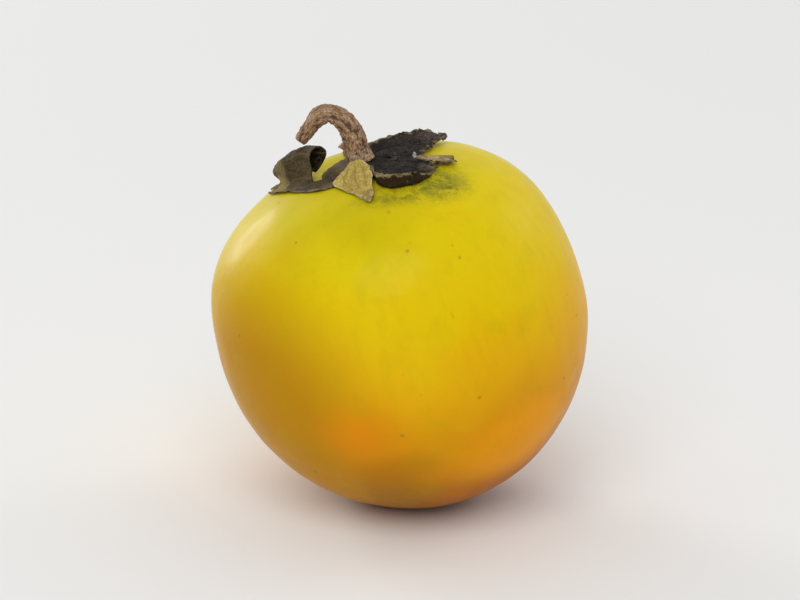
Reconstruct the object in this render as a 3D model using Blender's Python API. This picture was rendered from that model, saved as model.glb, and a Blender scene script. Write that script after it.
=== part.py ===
"""A persimmon with its dried calyx and hooked stalk, leaning on a small flat spot.

The fruit is described in its own frame, where +Z is the line from the blossom end to the stalk
and +X is the side that leans up. An empty then leans that frame over and sets the flat spot's
centre on the world's origin. Everything is in metres and radians.
"""
import math

import bmesh
import bpy
from mathutils import Matrix, Vector

# Fruit
BODY_RADIUS = 0.0342
SHOULDER_RISE = 0.0020
SHOULDER_ANGLE = math.radians(54)
SHOULDER_SPREAD = math.radians(20.5)
CROWN_DIP = 0.0029
CROWN_SPREAD = math.radians(16.7)
BLOSSOM_FULLNESS = 0.0010
BLOSSOM_FULLNESS_SPREAD = math.radians(40)
BLOSSOM_DIMPLE = 0.0008
BLOSSOM_DIMPLE_SPREAD = math.radians(5)
SIDE_SKEW = 0.00038
LOBING = 0.0003
LOBING_TURN = math.radians(20)
LEAN = math.radians(18)
FOOT_CUT = 0.0009
BODY_SEGMENTS = 56
BODY_RINGS = 34

# Calyx
GAP = 0.0003
DISC_RADIUS = 0.0054
DISC_TOP = 0.0017
DISC_FLAT = 0.0030
DISC_RINGS = 7
DISC_SEGMENTS = 36
LOBE_START = DISC_RADIUS + GAP
LOBE_START_LEAST = 0.3 * LOBE_START
LOBE_THICKNESS = 0.0009
LOBE_CLEARANCE = GAP + LOBE_THICKNESS / 2 + 0.00008
LOBE_STEPS_ALONG = 13
LOBE_STEPS_ACROSS = 16
BEND_STEPS = 40
SKIN_ANGLE_LIMIT = math.radians(75)

# Stalk: points of its bent centre line (X, Z) and the radius at each, upwards from the calyx
STEM_LINE = [
    ((0.00130, 0.03370), 0.00260),
    ((0.00150, 0.03510), 0.00240),
    ((0.00225, 0.03740), 0.00220),
    ((0.00230, 0.04010), 0.00190),
    ((0.00110, 0.04240), 0.00175),
    ((-0.00060, 0.04375), 0.00168),
    ((-0.00230, 0.04380), 0.00160),
    ((-0.00470, 0.04240), 0.00140),
    ((-0.00750, 0.04060), 0.00122),
]
STEM_STEPS = 4
STEM_BEVEL_RESOLUTION = 4


def smooth(low, high, value):
    """0 below low, 1 above high, with a smooth run between them."""
    t = min(max((value - low) / (high - low), 0.0), 1.0)
    return t * t * (3 - 2 * t)


def bell(value, centre, spread):
    return math.exp(-((value - centre) / spread) ** 2)


# ---------------------------------------------------------------- the fruit's round form

def body_distance(angle, azimuth):
    """Distance from the fruit's centre to its skin, at an angle from the stalk's line."""
    distance = BODY_RADIUS + SHOULDER_RISE * bell(angle, SHOULDER_ANGLE, SHOULDER_SPREAD)
    distance -= CROWN_DIP * bell(angle, 0, CROWN_SPREAD)
    distance += BLOSSOM_FULLNESS * bell(angle, math.pi, BLOSSOM_FULLNESS_SPREAD)
    distance -= BLOSSOM_DIMPLE * bell(angle, math.pi, BLOSSOM_DIMPLE_SPREAD)
    distance -= SIDE_SKEW * math.cos(azimuth) * math.sin(2 * angle)
    distance += LOBING * math.cos(4 * (azimuth - LOBING_TURN)) * math.sin(angle) ** 2
    return distance


def body_point(angle, azimuth):
    distance = body_distance(angle, azimuth)
    ring = distance * math.sin(angle)
    return Vector((ring * math.cos(azimuth), ring * math.sin(azimuth), distance * math.cos(angle)))


def skin_angle(x, y):
    """Angle from the stalk's line at which the upper skin passes through (x, y)."""
    radius = math.hypot(x, y)
    azimuth = math.atan2(y, x)
    low = 0.0
    high = SKIN_ANGLE_LIMIT
    for _ in range(30):
        middle = (low + high) / 2
        if body_distance(middle, azimuth) * math.sin(middle) < radius:
            low = middle
        else:
            high = middle
    return (low + high) / 2


def skin_point(x, y):
    angle = skin_angle(x, y)
    return body_point(angle, math.atan2(y, x))


def skin_normal(x, y):
    step = 0.0002
    slope_x = skin_point(x + step, y).z - skin_point(x - step, y).z
    slope_y = skin_point(x, y + step).z - skin_point(x, y - step).z
    return Vector((-slope_x, -slope_y, 2 * step)).normalized()


# ---------------------------------------------------------------- objects and materials

def material(name, colour, roughness):
    made = bpy.data.materials.new(name)
    made.use_nodes = True
    shader = made.node_tree.nodes["Principled BSDF"]
    shader.inputs["Base Color"].default_value = (*colour, 1)
    shader.inputs["Roughness"].default_value = roughness
    shader.inputs["Metallic"].default_value = 0
    return made


def add_object(name, mesh_data, finish, parent):
    made = bpy.data.objects.new(name, mesh_data)
    made.data.materials.append(finish)
    made.parent = parent
    bpy.context.scene.collection.objects.link(made)
    return made


def mesh_from(name, shape):
    """Turn a bmesh into a smooth-shaded mesh whose faces point out."""
    bmesh.ops.recalc_face_normals(shape, faces=shape.faces)
    mesh = bpy.data.meshes.new(name)
    shape.to_mesh(mesh)
    shape.free()
    mesh.shade_smooth()
    return mesh


# ---------------------------------------------------------------- fruit body

def cut_foot(shape):
    """Cut the leaned fruit level at its lowest place; return the centre of the flat it leaves."""
    lean = Matrix.Rotation(-LEAN, 4, "Y")
    down = lean.inverted() @ Vector((0, 0, -1))
    lowest = max(shape.verts, key=lambda vertex: vertex.co.dot(down)).co.copy()
    plane_point = lowest - down * FOOT_CUT
    parts = shape.verts[:] + shape.edges[:] + shape.faces[:]
    cut = bmesh.ops.bisect_plane(
        shape, geom=parts, dist=1e-7, plane_co=plane_point, plane_no=down, clear_outer=True)
    rim = [item for item in cut["geom_cut"] if isinstance(item, bmesh.types.BMEdge)]
    flat = bmesh.ops.contextual_create(shape, geom=rim)["faces"][0]
    return lean @ flat.calc_center_median_weighted()


def make_body(finish, parent):
    """The whole fruit is one solid: a sphere drawn out to the fruit's form, with a level foot."""
    shape = bmesh.new()
    bmesh.ops.create_uvsphere(shape, u_segments=BODY_SEGMENTS, v_segments=BODY_RINGS, radius=1)
    for vertex in shape.verts:
        angle = math.acos(min(max(vertex.co.z, -1), 1))
        vertex.co = body_point(angle, math.atan2(vertex.co.y, vertex.co.x))
    foot_centre = cut_foot(shape)
    add_object("fruit_body", mesh_from("fruit_body", shape), finish, parent)
    return foot_centre


# ---------------------------------------------------------------- calyx

def disc_height(radius):
    """Height of the disc's upper face over the skin: level in the middle, thin at its edge."""
    edge = GAP + 0.0005
    return edge + (DISC_TOP - edge) * (1 - smooth(DISC_FLAT, DISC_RADIUS, radius))


def make_disc(finish, parent):
    """Low woody disc on the crown, from which the four lobes spread."""
    shape = bmesh.new()
    sheets = []
    for upper in (True, False):
        rings = []
        for ring in range(1, DISC_RINGS + 1):
            radius = DISC_RADIUS * ring / DISC_RINGS
            loop = []
            for step in range(DISC_SEGMENTS):
                turn = 2 * math.pi * step / DISC_SEGMENTS
                x = radius * math.cos(turn)
                y = radius * math.sin(turn)
                height = disc_height(radius) if upper else GAP
                loop.append(shape.verts.new(skin_point(x, y) + Vector((0, 0, height))))
            rings.append(loop)
        middle = skin_point(0, 0) + Vector((0, 0, disc_height(0) if upper else GAP))
        sheets.append((shape.verts.new(middle), rings))
    for centre, rings in sheets:
        for step in range(DISC_SEGMENTS):
            following = (step + 1) % DISC_SEGMENTS
            shape.faces.new((centre, rings[0][step], rings[0][following]))
            for inner, outer in zip(rings, rings[1:]):
                shape.faces.new((inner[step], outer[step], outer[following], inner[following]))
    top_edge = sheets[0][1][-1]
    bottom_edge = sheets[1][1][-1]
    for step in range(DISC_SEGMENTS):
        following = (step + 1) % DISC_SEGMENTS
        shape.faces.new((top_edge[step], bottom_edge[step], bottom_edge[following], top_edge[following]))
    add_object("calyx_disc", mesh_from("calyx_disc", shape), finish, parent)


def bent(distance, bends):
    """Follow a line that starts level and turns up by each bend (start, length, turn).

    Returns how far the line has gone sideways and up after the given distance along it.
    """
    aside = 0.0
    up = 0.0
    step = distance / BEND_STEPS
    for index in range(BEND_STEPS):
        along = (index + 0.5) * step
        turn = sum(angle * smooth(start, start + length, along) for start, length, angle in bends)
        aside += step * math.cos(turn)
        up += step * math.sin(turn)
    return aside, up


def lobe_surface_point(lobe, along, across):
    """Point of a lobe's middle sheet; along runs 0 to 1 from base to tip, across -1 to 1."""
    side = 0 if across < 0 else 1
    neck = lobe["necks"][side]
    width = neck + (lobe["widths"][side] - neck) * smooth(0, lobe["spread_by"], along)
    width *= 1 - lobe["tip_taper"] * smooth(0.4, 1, along)
    bends = lobe["bends"][side]
    base_aside = lobe["offset"] + math.copysign(bent(neck * abs(across), bends)[0], across)
    start_squared = LOBE_START ** 2 - base_aside ** 2
    start = math.sqrt(max(start_squared, LOBE_START_LEAST ** 2))
    reach = lobe["reach"] * (1 - lobe["rounding"][side] * abs(across) ** 2)
    for place, spread, depth in lobe["tears"]:
        reach -= depth * bell(across, place, spread)
    aside, up = bent(width * abs(across), bends)
    aside = math.copysign(aside, across) + lobe["offset"] * (1 - along)
    forward, tip_up = bent((reach - start) * along, lobe["tip_bends"])
    outward = start + forward
    azimuth = lobe["azimuth"]
    x = outward * math.cos(azimuth) - aside * math.sin(azimuth)
    y = outward * math.sin(azimuth) + aside * math.cos(azimuth)
    over_skin = skin_point(x, y) + skin_normal(x, y) * LOBE_CLEARANCE
    return over_skin + Vector((0, 0, up + tip_up))


# Each lobe points out along its azimuth. Pairs hold its two sides, clockwise side first, seen
# from the stalk. A bend is (start, length, turn), measured across from the lobe's middle line.
LOBES = {
    # Its far half stands up as a fold that bows over at the top; the near half lies on the skin
    "calyx_lobe_left": {
        "azimuth": math.radians(165),
        "reach": 0.0165,
        "offset": 0.0040,
        "rounding": (0.24, 0.10),
        "necks": (0.0045, 0.0040),
        "widths": (0.0070, 0.0040),
        "spread_by": 0.45,
        "tip_taper": 0.45,
        "tears": [],
        "bends": (
            [(0.0, 0.0018, math.radians(84)), (0.0044, 0.0026, math.radians(115))],
            [],
        ),
        "tip_bends": [],
    },
    # Large cupped lobe with a torn tip; both margins stand clear of the skin
    "calyx_lobe_right": {
        "azimuth": math.radians(-15),
        "reach": 0.0190,
        "offset": 0.0,
        "rounding": (0.20, 0.22),
        "necks": (0.0036, 0.0030),
        "widths": (0.0125, 0.0118),
        "spread_by": 0.80,
        "tip_taper": 0.0,
        "tears": [(0.12, 0.08, 0.0040)],
        "bends": (
            [(0.0040, 0.0080, math.radians(32))],
            [(0.0010, 0.0050, math.radians(14))],
        ),
        "tip_bends": [],
    },
    # Narrow kite-shaped lobe that hangs over the near shoulder
    "calyx_lobe_front": {
        "azimuth": math.radians(-80),
        "reach": 0.0176,
        "offset": 0.0,
        "rounding": (0.10, 0.05),
        "necks": (0.0034, 0.0024),
        "widths": (0.0046, 0.0030),
        "spread_by": 0.25,
        "tip_taper": 0.72,
        "tears": [],
        "bends": (
            [(0.0020, 0.0020, math.radians(18))],
            [(0.0016, 0.0014, math.radians(22))],
        ),
        "tip_bends": [],
    },
    # Flat lobe on the far side with a slightly lifted tip
    "calyx_lobe_back": {
        "azimuth": math.radians(92),
        "reach": 0.0180,
        "offset": 0.0,
        "rounding": (0.28, 0.28),
        "necks": (0.0034, 0.0034),
        "widths": (0.0060, 0.0074),
        "spread_by": 0.75,
        "tip_taper": 0.35,
        "tears": [],
        "bends": ([], []),
        "tip_bends": [(0.0080, 0.0045, math.radians(30))],
    },
}


def make_lobe(name, lobe, finish, parent):
    """A thin dried lobe: one bent sheet, thickened evenly to both sides."""
    shape = bmesh.new()
    bmesh.ops.create_grid(
        shape, x_segments=LOBE_STEPS_ALONG, y_segments=LOBE_STEPS_ACROSS, size=1)
    for vertex in shape.verts:
        vertex.co = lobe_surface_point(lobe, (vertex.co.x + 1) / 2, vertex.co.y)
    made = add_object(name, mesh_from(name, shape), finish, parent)
    thicken = made.modifiers.new("thickness", "SOLIDIFY")
    thicken.thickness = LOBE_THICKNESS
    thicken.offset = 0
    thicken.use_even_offset = False


# ---------------------------------------------------------------- stalk

def spline_value(values, place):
    """Catmull-Rom value at a place counted in points along the list."""
    index = min(int(place), len(values) - 2)
    t = place - index
    before = values[max(index - 1, 0)]
    start = values[index]
    end = values[index + 1]
    after = values[min(index + 2, len(values) - 1)]
    slope_in = (end - before) / 2
    slope_out = (after - start) / 2
    return ((2 * t**3 - 3 * t**2 + 1) * start + (t**3 - 2 * t**2 + t) * slope_in
            + (3 * t**2 - 2 * t**3) * end + (t**3 - t**2) * slope_out)


def make_stem(finish, parent):
    """Tapered woody stalk that rises from the disc and hooks over to one side."""
    curve = bpy.data.curves.new("stem", "CURVE")
    curve.dimensions = "3D"
    curve.bevel_depth = 1
    curve.bevel_resolution = STEM_BEVEL_RESOLUTION
    curve.use_fill_caps = True
    spline = curve.splines.new("POLY")
    count = (len(STEM_LINE) - 1) * STEM_STEPS + 1
    spline.points.add(count - 1)
    for index, point in enumerate(spline.points):
        place = index / STEM_STEPS
        x = spline_value([line[0] for line, _ in STEM_LINE], place)
        z = spline_value([line[1] for line, _ in STEM_LINE], place)
        point.co = (x, 0, z, 1)
        point.radius = spline_value([radius for _, radius in STEM_LINE], place)
    spline.use_smooth = True
    add_object("stem", curve, finish, parent)


# ---------------------------------------------------------------- the whole persimmon

def main():
    for old in list(bpy.data.objects):
        bpy.data.objects.remove(old)
    skin = material("persimmon_skin", (0.66, 0.50, 0.005), 0.38)
    dried_leaf = material("dried_calyx", (0.10, 0.075, 0.045), 0.85)
    bark = material("stalk_bark", (0.22, 0.12, 0.085), 0.85)
    frame = bpy.data.objects.new("fruit_frame", None)
    bpy.context.scene.collection.objects.link(frame)
    foot_centre = make_body(skin, frame)
    make_disc(dried_leaf, frame)
    for name, lobe in LOBES.items():
        make_lobe(name, lobe, dried_leaf, frame)
    make_stem(bark, frame)
    frame.rotation_euler = (0, -LEAN, 0)
    frame.location = -foot_centre


main()
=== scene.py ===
"""Looks of a persimmon: mottled waxy skin, four dried calyx lobes and a hooked woody stalk.

Every piece is built in the fruit's own frame, whose +Z runs from the blossom end to the stalk,
then leaned over; its material reads places in that frame from the attribute own_place. Lengths
are in millimetres where a name ends in _mm or a comment says so, and in metres elsewhere.
"""
import math

import bmesh
import bpy
import numpy as np
from mathutils import Matrix, Vector


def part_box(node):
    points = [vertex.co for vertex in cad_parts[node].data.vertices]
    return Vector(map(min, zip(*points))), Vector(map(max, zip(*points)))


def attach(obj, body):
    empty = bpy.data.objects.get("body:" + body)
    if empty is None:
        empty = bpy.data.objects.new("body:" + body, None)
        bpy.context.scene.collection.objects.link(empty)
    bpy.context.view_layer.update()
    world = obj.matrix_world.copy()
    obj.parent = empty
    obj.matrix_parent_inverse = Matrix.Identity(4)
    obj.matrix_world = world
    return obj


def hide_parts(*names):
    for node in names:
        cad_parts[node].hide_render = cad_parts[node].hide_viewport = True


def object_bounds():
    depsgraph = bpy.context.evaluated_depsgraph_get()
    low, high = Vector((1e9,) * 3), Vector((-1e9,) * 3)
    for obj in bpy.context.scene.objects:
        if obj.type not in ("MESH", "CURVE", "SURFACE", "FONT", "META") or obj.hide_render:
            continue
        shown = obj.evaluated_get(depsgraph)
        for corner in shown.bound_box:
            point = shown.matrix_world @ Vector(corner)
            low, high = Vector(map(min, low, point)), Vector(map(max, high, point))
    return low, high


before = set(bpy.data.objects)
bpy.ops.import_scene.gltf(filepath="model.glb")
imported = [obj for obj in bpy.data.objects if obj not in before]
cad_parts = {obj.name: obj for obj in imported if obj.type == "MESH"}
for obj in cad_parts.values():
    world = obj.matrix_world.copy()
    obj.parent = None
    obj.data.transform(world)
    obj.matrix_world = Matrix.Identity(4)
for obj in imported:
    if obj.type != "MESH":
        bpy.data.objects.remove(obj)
cad_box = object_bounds()

MM = 0.001

# Fruit form, as the CAD model has it
BODY_RADIUS = 0.0342
SHOULDER_RISE = 0.0020
SHOULDER_ANGLE = math.radians(54)
SHOULDER_SPREAD = math.radians(20.5)
CROWN_DIP = 0.0029
CROWN_SPREAD = math.radians(16.7)
BLOSSOM_FULLNESS = 0.0010
BLOSSOM_FULLNESS_SPREAD = math.radians(40)
BLOSSOM_DIMPLE = 0.0008
BLOSSOM_DIMPLE_SPREAD = math.radians(5)
SIDE_SKEW = 0.00038
LOBING = 0.0003
LOBING_TURN = math.radians(20)
LEAN = math.radians(18)

# Mesh fineness
BODY_RINGS = 220
BODY_SEGMENTS = 320
# How far the rings are drawn together at the crown and the blossom end, from 0 to 1
BODY_RING_CROWDING = 0.55
LOBE_ROWS = 120
LOBE_COLUMNS = 141
DISC_RINGS = 40
DISC_SEGMENTS = 128
STEM_RINGS = 300
STEM_SEGMENTS = 84
TORN_END_RINGS = 7

# Unevenness of the skin
DENT_HEIGHT_MM = 0.11
DENT_WIDTH_MM = 11
GRAIN_HEIGHT_MM = 0.012
GRAIN_WIDTH_MM = 1.6
STYLE_HEIGHT_MM = 0.55
STYLE_WIDTH_MM = 0.55
GROOVE_DEPTH_MM = 0.12
GROOVE_RADIUS_MM = 1.1
GROOVE_WIDTH_MM = 0.4
REST_ROUNDING_MM = 0.16

# Calyx
DISC_RADIUS = 0.0054
LOBE_THICKNESS = 0.00034
SKIN_GAP = 0.00012
CONTACT_ROUNDING_MM = 0.10
LOOSE_MARGIN_MM = 3.0
THIN_MARGIN_MM = 1.2
RIB_DEPTH_MM = 0.10
DISC_EDGE_HEIGHT_MM = 0.35
DISC_DOME_HEIGHT_MM = 1.30
DISC_CREASE_HEIGHT_MM = 0.22
# A lobe's sides count as free edge from this row of points outwards, clear of the disc
EDGE_FIRST_ROW = 4
# How often the tears in a lobe's margin repeat, across its tip and along each side
TEARS_AT_TIP = 17
TEARS_AT_SIDES = 9
# Crinkles of the lobes, in millimetres: height, then width outwards and width across
BROAD_CRINKLES = (0.30, 3.6, 3.0)
SMALL_CRINKLES = (0.16, 1.5, 1.1)
FINE_CRINKLES = (0.05, 0.45, 0.45)

# Stalk, with its joint at a share of its length from the foot
RIDGE_HEIGHT_MM = 0.18
PLATE_HEIGHT_MM = 0.17
RING_HEIGHT_MM = 0.09
BARK_BUMPS = 75
BARK_BUMP_HEIGHT_MM = 0.11
JOINT_SHARE = 0.70
JOINT_HEIGHT_MM = 0.28
FOOT_FLARE_MM = 0.25
LEAF_SCAR_HEIGHT_MM = 1.05
LEAF_SCAR_AT_MM = 3.4
SIDE_SWAY_MM = 0.15

# Studio: each softbox has a place from the fruit's middle, a width and a power. The surroundings
# brighten from front to back, mostly within SURROUND_EASE of the middle, counted from -1 to 1
FLOOR_HALF_WIDTH = 6
SOFTBOXES = {
    "key": ((-0.12, -0.75, 0.80), 0.9, 5.5),
    "rim_left": ((-0.80, 1.00, 0.28), 0.5, 6.0),
    "rim_right": ((0.85, 0.55, 0.45), 0.5, 1.2),
}
SURROUND_IN_FRONT = 0.34
SURROUND_BEHIND = 0.80
SURROUND_EASE = 0.7
VIEW_ELEVATION = math.radians(20)
VIEW_DISTANCE = 0.85
VIEW_LENS = 205
SENSOR_WIDTH = 36


# ---------------------------------------------------------------- small helpers

def smooth(low, high, value):
    """0 below low, 1 above high, with a smooth run between them."""
    t = np.clip((value - low) / (high - low), 0.0, 1.0)
    return t * t * (3 - 2 * t)


def bell(value, centre, spread):
    """1 at the centre, falling off smoothly on both sides."""
    return np.exp(-((value - centre) / spread) ** 2)


def gradient_noise(x, y, z, seed):
    """Smooth noise of about -1 to 1 with features about one unit across, for arrays of places."""
    table = np.random.RandomState(seed).permutation(256)
    arrows = np.random.RandomState(seed + 1).normal(size=(256, 3))
    arrows /= np.linalg.norm(arrows, axis=1)[:, None]
    places = np.stack(np.broadcast_arrays(x, y, z), -1).astype(float)
    cell = np.floor(places).astype(int)
    inside = places - cell
    ease = inside ** 3 * (inside * (inside * 6 - 15) + 10)
    total = np.zeros(places.shape[:-1])
    for corner in np.ndindex(2, 2, 2):
        place = cell + corner
        index = table[place[..., 0] & 255]
        index = table[(index + place[..., 1]) & 255]
        index = table[(index + place[..., 2]) & 255]
        value = ((inside - corner) * arrows[index]).sum(-1)
        weight = np.where(np.array(corner) == 1, ease, 1 - ease).prod(-1)
        total += weight * value
    return total * 1.6


def layered_noise(x, y, z, seed, layers):
    """Gradient noise with finer, weaker layers added."""
    total = 0
    for layer in range(layers):
        scale = 2 ** layer
        total = total + gradient_noise(x * scale, y * scale, z * scale, seed + 7 * layer) / scale
    return total


def spline(values, place):
    """Catmull-Rom value at places counted in points along the list."""
    values = np.asarray(values, float)
    place = np.asarray(place, float)
    index = np.clip(place.astype(int), 0, len(values) - 2)
    t = place - index
    before = values[np.maximum(index - 1, 0)]
    start = values[index]
    end = values[index + 1]
    after = values[np.minimum(index + 2, len(values) - 1)]
    slope_in = (end - before) / 2
    slope_out = (after - start) / 2
    return ((2 * t**3 - 3 * t**2 + 1) * start + (t**3 - 2 * t**2 + t) * slope_in
            + (3 * t**2 - 2 * t**3) * end + (t**3 - t**2) * slope_out)


# ---------------------------------------------------------------- the fruit's form

def body_distance(angle, azimuth):
    """Distance from the fruit's centre to its skin, at an angle from the stalk's line."""
    distance = BODY_RADIUS + SHOULDER_RISE * bell(angle, SHOULDER_ANGLE, SHOULDER_SPREAD)
    distance -= CROWN_DIP * bell(angle, 0, CROWN_SPREAD)
    distance += BLOSSOM_FULLNESS * bell(angle, math.pi, BLOSSOM_FULLNESS_SPREAD)
    distance -= BLOSSOM_DIMPLE * bell(angle, math.pi, BLOSSOM_DIMPLE_SPREAD)
    distance -= SIDE_SKEW * np.cos(azimuth) * np.sin(2 * angle)
    distance += LOBING * np.cos(4 * (azimuth - LOBING_TURN)) * np.sin(angle) ** 2
    return distance


def body_points(angle, azimuth):
    """Places on the skin at angles from the stalk's line and azimuths around it."""
    distance = body_distance(angle, azimuth)
    ring = distance * np.sin(angle)
    return np.stack([ring * np.cos(azimuth), ring * np.sin(azimuth), distance * np.cos(angle)], -1)


def skin_height(x, y):
    """Height of the upper skin over (x, y), found by halving the angle's range."""
    radius = np.hypot(x, y)
    azimuth = np.arctan2(y, x)
    low = np.zeros_like(radius)
    high = np.full_like(radius, math.radians(75))
    for _ in range(26):
        middle = (low + high) / 2
        short = body_distance(middle, azimuth) * np.sin(middle) < radius
        low = np.where(short, middle, low)
        high = np.where(short, high, middle)
    return body_distance(low, azimuth) * np.cos(low)


# ---------------------------------------------------------------- pieces

def quad_grid(rows, columns, wrap=False, first=0):
    """Faces of a grid of points stored row after row; wrap joins the last column to the first."""
    faces = []
    last = columns if wrap else columns - 1
    for row in range(rows - 1):
        for column in range(last):
            following = (column + 1) % columns
            a = first + row * columns + column
            b = first + row * columns + following
            faces.append((a, b, b + columns, a + columns))
    return faces


def add_piece(name, points, faces, node, material):
    """Make a closed mesh piece, given in the fruit's frame, that stands for a CAD node."""
    matrix = np.array(fruit_frame)
    standing = points @ matrix[:3, :3].T + matrix[:3, 3]
    mesh = bpy.data.meshes.new(name)
    mesh.from_pydata([tuple(point) for point in standing], [], faces)
    form = bmesh.new()
    form.from_mesh(mesh)
    bmesh.ops.recalc_face_normals(form, faces=form.faces)
    form.to_mesh(mesh)
    form.free()
    mesh.materials.append(material)
    mesh.shade_smooth()
    mesh.update()
    piece = bpy.data.objects.new(name, mesh)
    bpy.context.scene.collection.objects.link(piece)
    add_attribute(piece, "own_place", points)
    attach(piece, "root")
    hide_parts(node)
    return piece


def add_attribute(piece, name, values):
    """Store one number, or one vector, at each point for the material to read."""
    values = np.asarray(values, np.float32)
    kind = "FLOAT" if values.ndim == 1 else "FLOAT_VECTOR"
    stored = piece.data.attributes.new(name, kind, "POINT")
    stored.data.foreach_set("value" if values.ndim == 1 else "vector", values.ravel())


# ---------------------------------------------------------------- materials

class Graph:
    """Short names for building one material's node graph."""

    def __init__(self, name):
        self.material = bpy.data.materials.new(name)
        self.material.use_nodes = True
        self.tree = self.material.node_tree
        self.shader = self.tree.nodes["Principled BSDF"]

    def node(self, kind, **settings):
        made = self.tree.nodes.new("ShaderNode" + kind)
        for key, value in settings.items():
            setattr(made, key, value)
        return made

    def put(self, socket, value):
        if isinstance(value, bpy.types.NodeSocket):
            self.tree.links.new(value, socket)
        elif isinstance(value, tuple) and len(value) == 3 and socket.type == "RGBA":
            socket.default_value = (*value, 1)
        else:
            socket.default_value = value

    def place(self):
        return self.attribute("own_place", "Vector")

    def attribute(self, name, output="Fac"):
        return self.node("Attribute", attribute_name=name).outputs[output]

    def math(self, operation, *values):
        made = self.node("Math", operation=operation)
        for socket, value in zip(made.inputs, values):
            self.put(socket, value)
        return made.outputs[0]

    def stretch(self, vector, scale, offset=(0, 0, 0)):
        made = self.node("Mapping")
        self.put(made.inputs["Vector"], vector)
        made.inputs["Scale"].default_value = scale
        made.inputs["Location"].default_value = offset
        return made.outputs[0]

    def noise(self, vector, per_metre, detail=2.0, roughness=0.5, distortion=0.0):
        made = self.node("TexNoise")
        self.put(made.inputs["Vector"], vector)
        made.inputs["Scale"].default_value = per_metre
        made.inputs["Detail"].default_value = detail
        made.inputs["Roughness"].default_value = roughness
        made.inputs["Distortion"].default_value = distortion
        return made.outputs["Fac"]

    def cells(self, vector, per_metre, feature="F1"):
        made = self.node("TexVoronoi", feature=feature)
        self.put(made.inputs["Vector"], vector)
        made.inputs["Scale"].default_value = per_metre
        return made.outputs["Distance"]

    def remap(self, value, low, high, to_low=0.0, to_high=1.0):
        made = self.node("MapRange", interpolation_type="SMOOTHSTEP")
        self.put(made.inputs["Value"], value)
        made.inputs["From Min"].default_value = low
        made.inputs["From Max"].default_value = high
        made.inputs["To Min"].default_value = to_low
        made.inputs["To Max"].default_value = to_high
        return made.outputs["Result"]

    def mix(self, factor, first, second):
        made = self.node("Mix", data_type="RGBA")
        self.put(made.inputs["Factor"], factor)
        self.put(made.inputs[6], first)
        self.put(made.inputs[7], second)
        return made.outputs[2]

    def lay(self, colour, mask, amount, over):
        """Lay a second colour over the first by a mask and an amount."""
        return self.mix(self.math("MULTIPLY", mask, amount), colour, over)

    def ramp(self, value, stops):
        made = self.node("ValToRGB")
        self.put(made.inputs["Fac"], value)
        elements = made.color_ramp.elements
        elements[0].position, elements[0].color = stops[0][0], (*stops[0][1], 1)
        elements[1].position, elements[1].color = stops[-1][0], (*stops[-1][1], 1)
        for position, colour in stops[1:-1]:
            elements.new(position).color = (*colour, 1)
        return made.outputs["Color"]

    def near(self, vector, centre_mm, size_mm, softness=0.5):
        """1 inside an ellipsoid around a place, easing to 0 outside it."""
        scale = tuple(1 / (size * MM) for size in size_mm)
        offset = tuple(-centre / size for centre, size in zip(centre_mm, size_mm))
        shifted = self.stretch(vector, scale, offset)
        length = self.node("VectorMath", operation="LENGTH")
        self.put(length.inputs[0], shifted)
        return self.remap(length.outputs["Value"], 1 - softness, 1 + softness, 1.0, 0.0)

    def bump(self, height, distance_mm, strength=1.0, below=None):
        made = self.node("Bump")
        made.inputs["Strength"].default_value = strength
        made.inputs["Distance"].default_value = distance_mm * MM
        self.put(made.inputs["Height"], height)
        if below is not None:
            self.put(made.inputs["Normal"], below)
        return made.outputs["Normal"]

    def finish(self, colour, roughness, normal=None, **constants):
        self.put(self.shader.inputs["Base Color"], colour)
        self.put(self.shader.inputs["Roughness"], roughness)
        if normal is not None:
            self.put(self.shader.inputs["Normal"], normal)
        for key, value in constants.items():
            self.shader.inputs[key.replace("_", " ")].default_value = value
        return self.material


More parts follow.
